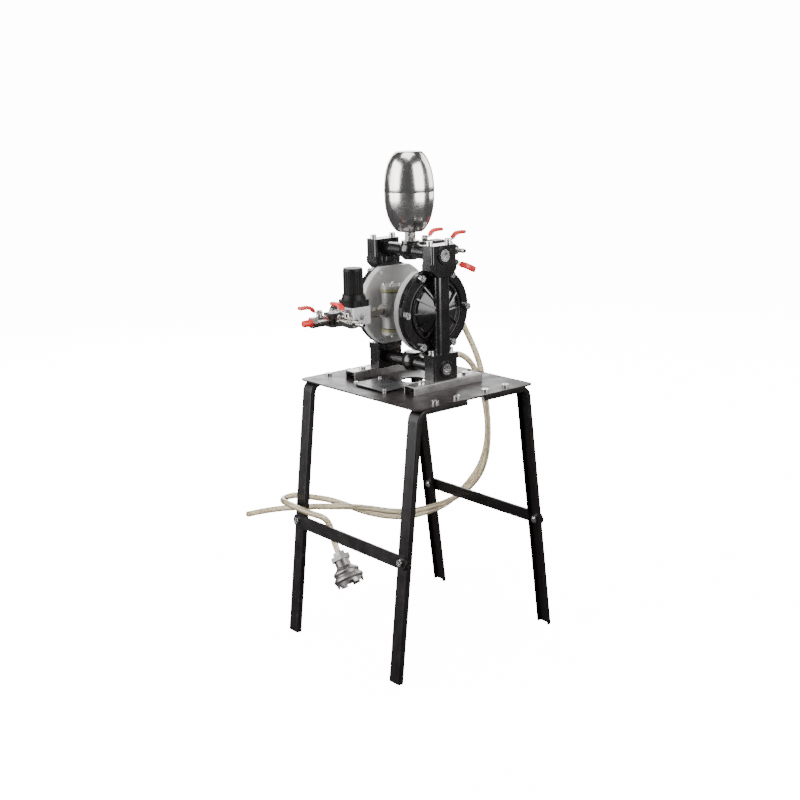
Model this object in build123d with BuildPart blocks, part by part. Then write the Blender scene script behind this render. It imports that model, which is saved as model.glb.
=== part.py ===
from build123d import *
from math import atan2, cos, hypot, pi, radians, sin, tan
import os

# Air operated diaphragm pump on a four-legged stand.
# X runs along the diaphragm shaft towards the front cover, Y from the air side to the outlet side, Z up.
# The origin is on the floor in the middle of the stand. Millimetres.

os.makedirs("parts", exist_ok=True)

# driving dimensions
# stand
plate_length, plate_width, plate_thickness, plate_corner = 356.0, 292.0, 3.0, 12.0
stand_height = 510.0  # floor to the top of the plate
drain_hole = 46.0
leg_width, leg_depth, leg_wall, leg_bend = 30.0, 10.0, 2.5, 24.0
leg_end_inset, leg_side_inset, leg_spread = 4.0, 6.0, 61.0
foot_length, foot_bolt_near, foot_bolt_far = 118.0, 36.0, 88.0
brace_height, brace_bar, brace_thickness, brace_overhang = 228.0, 25.0, 4.0, 15.0
# fasteners: shank, head, head height, and the clearance of a plain hole
m8, m8_head, m8_head_height, m8_nut, m8_nut_height = 8.0, 13.0, 5.0, 13.0, 6.5
m6, m6_head, m6_head_height = 6.0, 10.0, 6.0
m4, m4_head, m4_head_height = 4.0, 7.5, 2.8
hole_play = 0.3  # radial
thread_play = 0.05  # radial, between a screw and its tapped hole or nut
# rails and the bare tag plate
rail_width, rail_height, rail_wall, rail_length, rail_bolt_pitch = 30.0, 16.0, 2.0, 170.0, 110.0
tag_length, tag_width, tag_thickness, tag_lift, tag_edge = 95.0, 68.0, 1.5, 3.0, 5.0
tag_x, tag_y = -9.0, -74.0
tag_field_width, tag_field_rise = 49.0, 0.4  # raised bare field between the two rows of screws
# pump
pump_x, pump_y = -11.0, 5.0
cover_radius, cover_flange, bolt_circle, bolt_count = 82.0, 10.0, 149.0, 6
core_half, chamber_thickness, chamber_flat = 44.0, 14.0, 74.0
diaphragm_thickness = 3.0
disc_thickness, disc_radius = 4.0, 31.0
port_height, port_offset, port_bore = 91.0, 82.0, 18.0
block_length, block_depth, foot_screw_pitch = 60.0, 30.0, 40.0
foot_block_height, top_block_height, port_flange, channel_width = 37.0, 34.0, 12.0, 34.0
manifold_tube, tee_diameter, gallery = 26.0, 42.0, 15.0
manifold_bolt_pitch, tee_boss = 47.0, 28.0
top_plug, top_plug_ring, low_plug, low_plug_ring = 23.0, 34.0, 22.0, 31.0
plug_depth, plug_recess, ring_height = 5.0, 1.0, 3.0
shaft_diameter, shaft_play, stroke = 16.0, 0.05, 5.0
ball_diameter, ball_lift = 18.0, 4.0
seat_height, seat_radius, seat_bore = 4.0, 13.0, 13.0
valve_y, valve_radius, valve_half, spool_diameter, spool_play = -46.0, 21.0, 34.0, 18.0, 0.05
gasket_thickness, cap_height, cap_screw_radius = 1.5, 11.0, 15.5
# surge tank
tank_diameter, tank_end, tank_height, tank_wall, neck_length, neck_diameter = 95.0, 50.0, 149.0, 1.5, 17.0, 18.0
tank_shoulder, tank_bore = 7.2, 5.0  # how far the barrel has drawn in near its ends, radial
# air side
air_axis_y = -134.0  # the regulator's upright axis
regulator_side, regulator_below, regulator_above = 46.0, 14.0, 19.0
bonnet_height, bonnet_square, knob_height, knob_diameter = 22.0, 12.0, 48.0, 37.0
gauge_diameter, gauge_depth = 40.0, 22.0
dial_depth, dial_thickness, lens_depth, lens_thickness = 10.0, 1.0, 2.5, 1.5
air_block_side, air_block_gap, air_nipple = 26.0, 12.0, 10.0
# outlet side
outlet_block_side, outlet_y = 30.0, 70.0
elbow_reach = 19.0
# ball valves and hose tails
valve_in, valve_out, valve_body, valve_ball, valve_bore = 18.0, 20.0, 20.0, 14.0, 8.0
stem_top, stem_boss, stem_radius = 21.0, 15.0, 3.0
lever_reach, lever_width, lever_thickness = 45.0, 10.0, 2.0
tail_length, tail_diameter, tail_bore, tail_barb = 24.0, 9.0, 6.0, 7.0
collar_length = 6.0
side_port, side_port_depth = 11.0, 14.0
gauge_port, gauge_neck, needle_pin, needle_rest, knob_spigot, flute_count = 9.0, 8.0, 1.0, 225.0, 4.0, 24
inlet_cap_length = 17.0
# hoses and the suction strainer
hose_diameter, hose_bore = 12.0, 8.0
strainer_bell_bore, strainer_mesh, strainer_wire = 44.0, 5.0, 1.6

# places worked out from them
plate_bottom = stand_height - plate_thickness
rail_top = stand_height + rail_height
pump_z = rail_top + foot_block_height + port_height
flange_start = core_half + chamber_thickness + diaphragm_thickness
block_face = port_offset + block_depth / 2
cage_radius = ball_diameter / 2 + 1.0
cage_height = seat_height + ball_diameter + ball_lift + 0.5
top_axis = port_height + 15.5  # manifold gallery above the pump's axis
low_axis = -port_height - foot_block_height + 20.0
leg_x = plate_length / 2 - leg_end_inset - leg_width / 2
leg_top_y = plate_width / 2 - leg_side_inset
leg_lean = atan2(leg_spread, plate_bottom)
leg_drop = hypot(leg_spread, plate_bottom)


def save(shape, label):
    shape.label = label
    export_step(shape, f"parts/{label}.step")


def at_pump(x=0.0, y=0.0, z=0.0):
    return (pump_x + x, pump_y + y, pump_z + z)


def leg_face_y(z):
    # outer face of a leg's web at a height
    return leg_top_y + leg_spread * (plate_bottom - z) / plate_bottom


def web_plane(side, z, x=0.0):
    # on the outer face of the webs of the legs on one side, looking outwards
    outward = (0, side * cos(leg_lean), sin(leg_lean))
    return Plane(origin=(x, side * leg_face_y(z), z), x_dir=(1, 0, 0), z_dir=outward)


# radial section through the pump: local x along the shaft, local y upwards
section = Plane(origin=at_pump(), x_dir=(1, 0, 0), z_dir=(0, -1, 0))
shaft_axis = Axis(at_pump(), (1, 0, 0))


def screw_at(plane, head, head_height, shank, length):
    # a socket screw whose head stands on the plane
    with Locations(plane):
        Cylinder(head / 2, head_height, align=(Align.CENTER, Align.CENTER, Align.MIN))
        Cylinder(shank / 2, length, align=(Align.CENTER, Align.CENTER, Align.MAX))
    with BuildSketch(plane.offset(head_height)) as socket:
        RegularPolygon(shank * 0.42, 6)
    extrude(socket.sketch, amount=-head_height * 0.6, mode=Mode.SUBTRACT)


def nut_at(plane, across, height, shank):
    with BuildSketch(plane) as nut:
        RegularPolygon(across / 2, 6, major_radius=False)
        Circle(shank / 2 + thread_play, mode=Mode.SUBTRACT)
    extrude(nut.sketch, amount=height)


# stand
leg_centres = [(side_x * leg_x, side_y) for side_x in (-1, 1) for side_y in (-1, 1)]
foot_bolt_places = [(x, side * y) for x, side in leg_centres for y in (foot_bolt_near, foot_bolt_far)]
rail_shift = 7.0  # the rails lie this far outside the middle of the pump's feet
rail_places = [pump_x + s * (port_offset + rail_shift) for s in (-1, 1)]
rail_bolt_places = [(x, pump_y + s * rail_bolt_pitch / 2) for x in rail_places for s in (-1, 1)]
tag_screw_places = [
    (tag_x + sx * (tag_length / 2 - tag_edge), tag_y + sy * (tag_width / 2 - tag_edge))
    for sx in (-1, 1)
    for sy in (-1, 1)
]

with BuildPart() as base_plate:
    with BuildSketch(Plane.XY.offset(plate_bottom)):
        RectangleRounded(plate_length, plate_width, plate_corner)
        with Locations(*foot_bolt_places, *rail_bolt_places):
            Circle(m8 / 2 + hole_play, mode=Mode.SUBTRACT)
        with Locations(*tag_screw_places):
            Circle(m4 / 2 + hole_play, mode=Mode.SUBTRACT)
        with Locations((pump_x, pump_y)):
            Circle(drain_hole / 2, mode=Mode.SUBTRACT)
    extrude(amount=plate_thickness)
save(base_plate.part, "base_plate")


def make_leg(side_x, side_y, label):
    below_floor = 20.0  # the channel is run on and then cut level with the floor
    foot_end = (side_y * (leg_top_y - foot_length), plate_bottom)
    corner = (side_y * leg_top_y, plate_bottom)
    run_out = (side_y * leg_face_y(-below_floor), -below_floor)
    with BuildPart() as leg:
        with BuildLine(Plane.YZ.offset(side_x * leg_x)) as run:
            FilletPolyline(foot_end, corner, run_out, radius=leg_bend)
        start = Plane(origin=run.line @ 0, x_dir=(-side_y, 0, 0), z_dir=run.line % 0)
        with BuildSketch(start):
            with Locations((0, -leg_depth / 2)):
                Rectangle(leg_width, leg_depth)
            corners = vertices().group_by(Axis.Y)[-1]
            fillet(corners, leg_wall + 0.8)
            with Locations((0, -leg_wall - leg_depth / 2)):
                Rectangle(leg_width - 2 * leg_wall, leg_depth, mode=Mode.SUBTRACT)
        sweep()
        split(bisect_by=Plane.XY, keep=Keep.TOP)
        with BuildSketch(Plane.XY.offset(plate_bottom + 1)):
            with Locations(*[(side_x * leg_x, side_y * y) for y in (foot_bolt_near, foot_bolt_far)]):
                Circle(m8 / 2 + hole_play)
        extrude(amount=-leg_wall - 2, mode=Mode.SUBTRACT)
        with BuildSketch(web_plane(side_y, brace_height, side_x * leg_x)):
            Circle(m8 / 2 + hole_play)
        extrude(amount=-leg_wall - 2, mode=Mode.SUBTRACT)
    save(leg.part, label)


make_leg(-1, -1, "leg_left")
make_leg(1, -1, "leg_front")
make_leg(-1, 1, "leg_back")
make_leg(1, 1, "leg_right")


def make_brace(side_y, label):
    with BuildPart() as brace:
        with BuildSketch(web_plane(side_y, brace_height)):
            SlotOverall(2 * (leg_x + brace_overhang), brace_bar)
            with Locations((-leg_x, 0), (leg_x, 0)):
                Circle(m8 / 2 + hole_play, mode=Mode.SUBTRACT)
        extrude(amount=brace_thickness)
    save(brace.part, label)


make_brace(-1, "brace_near")
make_brace(1, "brace_far")

with BuildPart() as stand_bolts:
    for x, y in foot_bolt_places:
        screw_at(Plane.XY.offset(stand_height).move(Location((x, y, 0))), m8_head, m8_head_height, m8, 16.0)
        nut_at(
            Plane(origin=(x, y, plate_bottom - leg_wall), z_dir=(0, 0, -1)), m8_nut, m8_nut_height, m8
        )
    for x, side in leg_centres:
        web = web_plane(side, brace_height, x)
        inside = Plane(web.offset(-leg_wall).origin, x_dir=(1, 0, 0), z_dir=-web.z_dir)
        screw_at(web.offset(brace_thickness), m8_head, m8_head_height, m8, 16.0)
        nut_at(inside, m8_nut, m8_nut_height, m8)
save(stand_bolts.part, "stand_bolts")


def make_rail(x, label):
    with BuildPart() as rail:
        rail_end = Plane(origin=(x, pump_y - rail_length / 2, stand_height), x_dir=(1, 0, 0), z_dir=(0, -1, 0))
        with BuildSketch(rail_end):
            with Locations((0, rail_height / 2)):
                Rectangle(rail_width, rail_height)
            fillet(vertices().group_by(Axis.Y)[-1], rail_wall + 1.0)
            with Locations((0, (rail_height - rail_wall) / 2)):
                Rectangle(rail_width - 2 * rail_wall, rail_height - rail_wall, mode=Mode.SUBTRACT)
        extrude(amount=-rail_length)
        with BuildSketch(Plane.XY.offset(rail_top + 1)):
            with Locations(*[(x, y) for place, y in rail_bolt_places if place == x]):
                Circle(m8 / 2 + hole_play)
            with Locations(*[(x, pump_y + s * foot_screw_pitch / 2) for s in (-1, 1)]):
                Circle(m6 / 2 + hole_play)
        extrude(amount=-rail_wall - 2, mode=Mode.SUBTRACT)
    save(rail.part, label)


make_rail(rail_places[0], "rail_rear")
make_rail(rail_places[1], "rail_front")

with BuildPart() as rail_bolts:
    for x, y in rail_bolt_places:
        screw_at(Plane.XY.offset(rail_top).move(Location((x, y, 0))), m8_head, m8_head_height, m8, 30.0)
        nut_at(Plane(origin=(x, y, plate_bottom), z_dir=(0, 0, -1)), m8_nut, m8_nut_height, m8)
    for x in rail_places:
        for s in (-1, 1):
            below = Plane(
                origin=(x, pump_y + s * foot_screw_pitch / 2, rail_top - rail_wall), z_dir=(0, 0, -1)
            )
            screw_at(below, m6_head, m6_head_height, m6, rail_wall + 12.0)
save(rail_bolts.part, "rail_bolts")

with BuildPart() as tag_plate:
    with BuildSketch(Plane.XY.offset(stand_height + tag_lift)):
        with Locations((tag_x, tag_y)):
            RectangleRounded(tag_length, tag_width, 3.0)
        with Locations(*tag_screw_places):
            Circle(m4 / 2 + hole_play, mode=Mode.SUBTRACT)
    extrude(amount=tag_thickness)
    with BuildSketch(Plane.XY.offset(stand_height + tag_lift + tag_thickness)):
        with Locations((tag_x, tag_y)):
            RectangleRounded(tag_length - 2 * tag_edge, tag_field_width, 2.0)
    extrude(amount=tag_field_rise)
save(tag_plate.part, "tag_plate")

# pump core
with BuildPart() as centre_block:
    with Locations(at_pump(0, 5.0, 0)):
        Box(2 * core_half, 54.0, 78.0)
    fillet(centre_block.edges().filter_by(Axis.X), 14.0)
    with Locations(at_pump(0, valve_y / 2, 0)):
        Box(30.0, -valve_y, 2 * valve_half)
    with Locations(at_pump(0, valve_y, 0)):
        Cylinder(valve_radius, 2 * valve_half)
    with BuildSketch(Plane(origin=at_pump(0, valve_y, 0), z_dir=(0, -1, 0))):
        Circle(13.0)
    extrude(amount=valve_radius + 5.0)
    with BuildSketch(Plane(origin=at_pump(0, 32.0, 0), z_dir=(0, 1, 0))):
        Circle(16.0)
    extrude(amount=6.0)
    with BuildSketch(Plane(origin=at_pump(0, 38.0, 0), z_dir=(0, -1, 0))):
        Circle(9.0)
    extrude(amount=20.0, mode=Mode.SUBTRACT)
    with BuildSketch(Plane(origin=at_pump(0, valve_y - valve_radius - 5.0, 0), z_dir=(0, 1, 0))):
        Circle(6.0)
    extrude(amount=valve_radius, mode=Mode.SUBTRACT)
    with Locations(at_pump(0, valve_y, 0)):
        Cylinder(spool_diameter / 2 + spool_play, 2 * valve_half + 2, mode=Mode.SUBTRACT)
    with BuildSketch(Plane(origin=at_pump(-core_half - 1, 0, 0), z_dir=(1, 0, 0))):
        Circle(shaft_diameter / 2 + shaft_play)
    extrude(amount=2 * core_half + 2, mode=Mode.SUBTRACT)
save(centre_block.part, "centre_block")

bolt_angles = [360.0 / bolt_count * i for i in range(bolt_count)]
bolt_places = [(bolt_circle / 2 * cos(radians(a)), bolt_circle / 2 * sin(radians(a))) for a in bolt_angles]


def face_plane(side, u, z=0.0):
    # across the shaft at a distance from the pump's middle, looking away from it
    return Plane(origin=at_pump(side * u, 0, z), x_dir=(0, side, 0), z_dir=(side, 0, 0))


def turned(side, points, mode=Mode.ADD):
    # a solid of revolution about the shaft, from points (along the shaft, radius)
    with BuildSketch(section) as profile:
        with BuildLine():
            Polyline(*[(side * u, r) for u, r in points], close=True)
        make_face()
    revolve(profile.sketch, axis=shaft_axis, mode=mode)


def make_chamber(side, label):
    rim = core_half + chamber_thickness
    with BuildPart() as chamber:
        turned(
            side,
            [
                (core_half, shaft_diameter / 2 + 2),
                (core_half, cover_radius - 1.5),
                (core_half + 1.5, cover_radius),
                (rim, cover_radius),
                (rim, 63.0),
                (core_half + 5.0, 56.0),
                (core_half + 3.0, 40.0),
                (core_half + 3.0, shaft_diameter / 2 + 2),
            ],
        )
        with Locations(at_pump(side * (core_half + chamber_thickness / 2), 0, 0)):
            Box(chamber_thickness + 2, 2 * cover_radius + 2, 2 * chamber_flat, mode=Mode.INTERSECT)
        with BuildSketch(face_plane(side, rim)):
            with Locations(*bolt_places):
                Circle(m8 / 2 + thread_play)
        extrude(amount=-chamber_thickness, mode=Mode.SUBTRACT)
    save(chamber.part, label)


def make_diaphragm(side):
    rim = core_half + chamber_thickness
    skin = diaphragm_thickness - 0.2
    inner = shaft_diameter / 2 + 0.1
    turned(
        side,
        [
            (rim + 0.1, inner),
            (rim + 0.1, 33.0),
            (rim - 3.0, 44.0),
            (rim + 0.1, 56.0),
            (rim + 0.1, cover_radius - 1.0),
            (rim + 0.1 + skin, cover_radius - 1.0),
            (rim + 0.1 + skin, 55.0),
            (rim - 3.0 + skin, 44.0 + 0.3),
            (rim + 0.1 + skin, 34.0),
            (rim + 0.1 + skin, inner),
        ],
    )
    with BuildSketch(face_plane(side, rim - 1)) as holes:
        with Locations(*bolt_places):
            Circle(m8 / 2 + hole_play)
    extrude(holes.sketch, amount=diaphragm_thickness + 2, mode=Mode.SUBTRACT)


def make_cover(side, label):
    tip = block_face - 4.0
    with BuildPart() as cover:
        turned(
            side,
            [
                (flange_start, 62.0),
                (flange_start, cover_radius),
                (flange_start + cover_flange - 1.5, cover_radius),
                (flange_start + cover_flange, cover_radius - 1.5),
                (flange_start + cover_flange, 65.0),
                (flange_start + 7.0, 63.5),
                (flange_start + 7.0, 60.0),
                (flange_start + 11.0, 58.5),
                (flange_start + 11.0, 55.0),
                (flange_start + 8.0, 53.5),
                (flange_start + 8.0, 50.0),
                (flange_start + 12.0, 47.0),
                (tip - 3.0, 12.0),
                (tip, 8.0),
                (tip, 0.0),
                (tip - 5.0, 0.0),
                (tip - 9.0, 12.0),
                (flange_start + 6.0, 46.0),
                (flange_start + 3.0, 56.0),
            ],
        )
        # port channel down the face
        with BuildSketch(Plane.XY.offset(pump_z - port_height)):
            with Locations((pump_x + side * (flange_start + block_face - 2.0) / 2, pump_y)):
                RectangleRounded(block_face - 2.0 - flange_start, channel_width, 9.0)
        extrude(amount=2 * port_height)
        # port flanges at both ends
        for end, gusset in ((-1, 0.0), (1, 13.0)):
            shelf = port_height - port_flange
            with BuildSketch(face_plane(side, port_offset - block_depth / 2)):
                with BuildLine():
                    Polyline(
                        (-block_length / 2, end * port_height),
                        (block_length / 2, end * port_height),
                        (block_length / 2, end * shelf),
                        (channel_width / 2, end * (shelf - gusset)),
                        (-channel_width / 2, end * (shelf - gusset)),
                        (-block_length / 2, end * shelf),
                        close=True,
                    )
                make_face()
            extrude(amount=block_depth)
        # ribs on the cone
        for angle in (-58, -30, 0, 30, 58, 122, 150, 180, 210, 238):
            spoke = (0, cos(radians(angle)), sin(radians(angle)))
            across = (0, -sin(radians(angle)), cos(radians(angle)))
            with BuildSketch(Plane(origin=at_pump(), x_dir=(side, 0, 0), z_dir=across)):
                with BuildLine():
                    Polyline(
                        (flange_start + 9.0, -side * 57.0),
                        (flange_start + 13.0, -side * 57.0),
                        (tip - 0.5, -side * 11.0),
                        (tip - 6.0, -side * 11.0),
                        close=True,
                    )
                make_face()
            extrude(amount=1.5, both=True)
        # fluid chamber, the duct that joins both ports to it, and the bolt holes
        turned(
            side,
            [
                (flange_start - 1.0, 0.0),
                (flange_start - 1.0, 62.0),
                (flange_start, 62.0),
                (flange_start + 3.0, 56.0),
                (flange_start + 6.0, 46.0),
                (tip - 9.0, 12.0),
                (tip - 5.0, 0.0),
            ],
            Mode.SUBTRACT,
        )
        with Locations(at_pump(side * port_offset, 0, 0)):
            Cylinder(port_bore / 2, 2 * port_height + 2, mode=Mode.SUBTRACT)
        with Locations(at_pump(side * port_offset, 0, -port_height)):
            low_edge = (Align.CENTER, Align.CENTER, Align.MIN)
            Cylinder(cage_radius, cage_height - seat_height, align=low_edge, mode=Mode.SUBTRACT)
        with BuildSketch(face_plane(side, flange_start - 1)):
            with Locations(*bolt_places):
                Circle(m8 / 2 + hole_play)
        extrude(amount=cover_flange + 6, mode=Mode.SUBTRACT)
        for end in (-1, 1):
            with BuildSketch(Plane(origin=at_pump(side * port_offset, 0, end * port_height), z_dir=(0, 0, end))):
                with Locations((0, manifold_bolt_pitch / 2), (0, -manifold_bolt_pitch / 2)):
                    Circle(m8 / 2 + (thread_play if end > 0 else hole_play))
            extrude(amount=-13.0, mode=Mode.SUBTRACT)
    save(cover.part, label)


make_chamber(-1, "air_chamber_rear")
make_chamber(1, "air_chamber_front")
make_cover(-1, "cover_rear")
make_cover(1, "cover_front")

with BuildPart() as diaphragms:
    for side in (-1, 1):
        make_diaphragm(side)
save(diaphragms.part, "diaphragms")

# what moves inside the pump
rim = core_half + chamber_thickness
with BuildPart() as diaphragm_shaft:
    with BuildSketch(face_plane(1, -(rim + diaphragm_thickness + disc_thickness + 8.0))):
        Circle(shaft_diameter / 2)
    extrude(amount=2 * (rim + diaphragm_thickness + disc_thickness + 8.0))
    chamfer(diaphragm_shaft.edges().filter_by(GeomType.CIRCLE), 1.0)
save(diaphragm_shaft.part, "diaphragm_shaft")

with BuildPart() as diaphragm_discs:
    for side in (-1, 1):
        inner_start = rim - disc_thickness
        turned(
            side,
            [
                (inner_start, shaft_diameter / 2 + thread_play),
                (inner_start, disc_radius - 2.0),
                (rim, disc_radius),
                (rim, shaft_diameter / 2 + thread_play),
            ],
        )
        outer_start = rim + diaphragm_thickness
        turned(
            side,
            [
                (outer_start, shaft_diameter / 2 + thread_play),
                (outer_start, disc_radius),
                (outer_start + disc_thickness, disc_radius - 2.0),
                (outer_start + disc_thickness + 1.0, 14.0),
                (outer_start + disc_thickness + 7.0, 13.0),
                (outer_start + disc_thickness + 7.0, shaft_diameter / 2 + thread_play),
            ],
        )
save(diaphragm_discs.part, "diaphragm_discs")

with BuildPart() as valve_spool:
    with Locations(at_pump(0, valve_y, 0)):
        Cylinder(spool_diameter / 2, 48.0)
        for z in (-12.0, 12.0):
            with Locations((0, 0, z)):
                Cylinder(spool_diameter / 2 + 1, 12.0, mode=Mode.SUBTRACT)
                Cylinder(spool_diameter / 2 - 3.0, 12.0)
save(valve_spool.part, "valve_spool")

cap_screw_places = [
    (cap_screw_radius * cos(radians(a)), cap_screw_radius * sin(radians(a))) for a in (45, 135, 225, 315)
]


def cap_plane(end, rise):
    return Plane(origin=at_pump(0, valve_y, end * (valve_half + rise)), x_dir=(1, 0, 0), z_dir=(0, 0, end))


with BuildPart() as valve_gaskets:
    for end in (-1, 1):
        with BuildSketch(cap_plane(end, 0)):
            Circle(valve_radius)
            Circle(spool_diameter / 2 + 1.0, mode=Mode.SUBTRACT)
            with Locations(*cap_screw_places):
                Circle(m4 / 2 + hole_play, mode=Mode.SUBTRACT)
        extrude(amount=gasket_thickness)
save(valve_gaskets.part, "valve_gaskets")

with BuildPart() as valve_caps:
    for end in (-1, 1):
        with BuildSketch(cap_plane(end, gasket_thickness)):
            Circle(valve_radius + 1.5)
            with Locations(*cap_screw_places):
                Circle(m4 / 2 + hole_play, mode=Mode.SUBTRACT)
        extrude(amount=cap_height)
save(valve_caps.part, "valve_caps")

with BuildPart() as small_screws:
    for end in (-1, 1):
        for x, y in cap_screw_places:
            top = cap_plane(end, gasket_thickness + cap_height)
            screw_at(top.move(Location((x, y, 0))), m4_head, m4, m4, cap_height + gasket_thickness - 0.2)
    for x, y in tag_screw_places:
        top = Plane(origin=(x, y, stand_height + tag_lift + tag_thickness))
        screw_at(top, m4_head, m4_head_height, m4, tag_thickness + tag_lift + plate_thickness + 4.0)
        with Locations((x, y, stand_height + tag_lift / 2)):
            Cylinder(m4_head / 2, tag_lift)
            Cylinder(m4 / 2 + 0.02, tag_lift, mode=Mode.SUBTRACT)
            Cylinder(m4 / 2, tag_lift)
save(small_screws.part, "small_screws")

with BuildPart() as cover_bolts:
    for side in (-1, 1):
        for y, z in bolt_places:
            head = Plane(
                origin=at_pump(side * (flange_start + cover_flange), y, z), x_dir=(0, 1, 0), z_dir=(side, 0, 0)
            )
            screw_at(head, m8_head, m8, m8, cover_flange + diaphragm_thickness + chamber_thickness)
save(cover_bolts.part, "cover_bolts")

# manifolds, plugs, balls and seats
plug_places = {"upper": (top_axis, top_plug, top_plug_ring), "lower": (low_axis, low_plug, low_plug_ring)}


def make_manifold(end, height, label):
    axis_height, plug, ring = plug_places[label.split("_")[0]]
    with BuildPart() as manifold:
        for side in (-1, 1):
            with BuildSketch(Plane.XY.offset(pump_z + end * port_height)):
                with Locations((pump_x + side * port_offset, pump_y)):
                    RectangleRounded(block_depth, block_length, 4.0)
            extrude(amount=end * height)
            with BuildSketch(face_plane(side, block_face, axis_height)):
                Circle(ring / 2)
            extrude(amount=ring_height)
        # gallery tube and the tee in the middle
        with BuildSketch(face_plane(1, -port_offset, axis_height)):
            Circle(manifold_tube / 2)
        extrude(amount=2 * port_offset)
        with BuildSketch(Plane(origin=at_pump(0, 0, axis_height), x_dir=(1, 0, 0), z_dir=(0, -1, 0))):
            with BuildLine():
                r = tee_diameter / 2
                low = Line((0, -16.0), (r - 9.0, -16.0))
                belly = ThreePointArc(low @ 1, (r, -1.0), (r - 4.0, 15.0))
                shoulder = Line(belly @ 1, (r - 4.0, 20.0))
                Line(shoulder @ 1, (0, 20.0))
                Line((0, 20.0), (0, -16.0))
            make_face()
        revolve(axis=Axis(at_pump(), (0, 0, 1)))
        # port that faces the outlet side
        with BuildSketch(Plane(origin=at_pump(0, 0, axis_height), z_dir=(0, 1, 0))):
            Circle(16.0)
        extrude(amount=tee_boss)
        with BuildSketch(Plane(origin=at_pump(0, tee_boss, axis_height), z_dir=(0, -1, 0))):
            Circle(gallery / 2)
        extrude(amount=tee_boss, mode=Mode.SUBTRACT)
        if end > 0:
            with BuildSketch(Plane.XY.offset(pump_z + axis_height + 20.0)):
                with Locations((pump_x, pump_y)):
                    Circle(gallery / 2)
            extrude(amount=-20.0, mode=Mode.SUBTRACT)
        # gallery, plug seats, ball cages
        with BuildSketch(face_plane(1, -block_face, axis_height)):
            Circle(gallery / 2)
        extrude(amount=2 * block_face, mode=Mode.SUBTRACT)
        for side in (-1, 1):
            with BuildSketch(face_plane(side, block_face + ring_height, axis_height)):
                Circle(plug / 2 + thread_play)
            extrude(amount=-plug_recess - plug_depth, mode=Mode.SUBTRACT)
            for y in (-manifold_bolt_pitch / 2, manifold_bolt_pitch / 2):
                with Locations(at_pump(side * port_offset, y, end * (port_height + height / 2))):
                    Cylinder(m8 / 2 + (hole_play if end > 0 else thread_play), height, mode=Mode.SUBTRACT)
            with Locations(at_pump(side * port_offset, 0, end * port_height)):
                pocket, depth = (cage_radius, cage_height) if end > 0 else (seat_bore / 2, -axis_height - port_height)
                edge = Align.MIN if end > 0 else Align.MAX
                Cylinder(pocket, depth, align=(Align.CENTER, Align.CENTER, edge), mode=Mode.SUBTRACT)
                Cylinder(seat_radius, seat_height, align=(Align.CENTER, Align.CENTER, edge), mode=Mode.SUBTRACT)
                if end < 0:
                    foot_edge = (Align.CENTER, Align.CENTER, Align.MIN)
                    with Locations(*[(rail_shift * side, s * foot_screw_pitch / 2, -height) for s in (-1, 1)]):
                        Cylinder(m6 / 2 + thread_play, 13.0, align=foot_edge, mode=Mode.SUBTRACT)
    save(manifold.part, label)


make_manifold(1, top_block_height, "upper_manifold")
make_manifold(-1, foot_block_height, "lower_manifold")

with BuildPart() as port_plugs:
    for axis_height, plug, ring in plug_places.values():
        for side in (-1, 1):
            outer = face_plane(side, block_face + ring_height - plug_recess, axis_height)
            with BuildSketch(outer):
                Circle(plug / 2)
            extrude(amount=-plug_depth)
            with BuildSketch(outer):
                RegularPolygon(plug * 0.27, 6)
            extrude(amount=-plug_depth * 0.8, mode=Mode.SUBTRACT)
save(port_plugs.part, "port_plugs")

with BuildPart() as ball_seats:
    for side in (-1, 1):
        for end in (-1, 1):
            # each seat lies under its ball, in the upper or the lower port joint
            z = port_height if end > 0 else -port_height - seat_height
            with Locations(at_pump(side * port_offset, 0, z)):
                Cylinder(seat_radius - 0.1, seat_height, align=(Align.CENTER, Align.CENTER, Align.MIN))
                Cylinder(seat_bore / 2, seat_height, align=(Align.CENTER, Align.CENTER, Align.MIN), mode=Mode.SUBTRACT)
save(ball_seats.part, "ball_seats")

# a ball rests on the edge of its seat's bore
ball_rise = ((ball_diameter / 2) ** 2 - (seat_bore / 2) ** 2) ** 0.5


def make_balls(places, label):
    with BuildPart() as balls:
        for side, seat_top in places:
            with Locations(at_pump(side * port_offset, 0, seat_top + ball_rise + 0.05)):
                Sphere(ball_diameter / 2)
    save(balls.part, label)


upper_seat_top, lower_seat_top = port_height + seat_height, -port_height
make_balls([(1, upper_seat_top), (-1, lower_seat_top)], "check_balls_forward")
make_balls([(-1, upper_seat_top), (1, lower_seat_top)], "check_balls_back")

with BuildPart() as manifold_bolts:
    for side in (-1, 1):
        for end, drop in ((1, port_height + top_block_height), (-1, -port_height + port_flange)):
            grip = top_block_height + port_flange if end > 0 else foot_block_height + port_flange - 14.0
            for y in (-manifold_bolt_pitch / 2, manifold_bolt_pitch / 2):
                screw_at(Plane.XY.move(Location(at_pump(side * port_offset, y, drop))), 12.0, m8, m8, grip)
save(manifold_bolts.part, "manifold_bolts")

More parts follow.
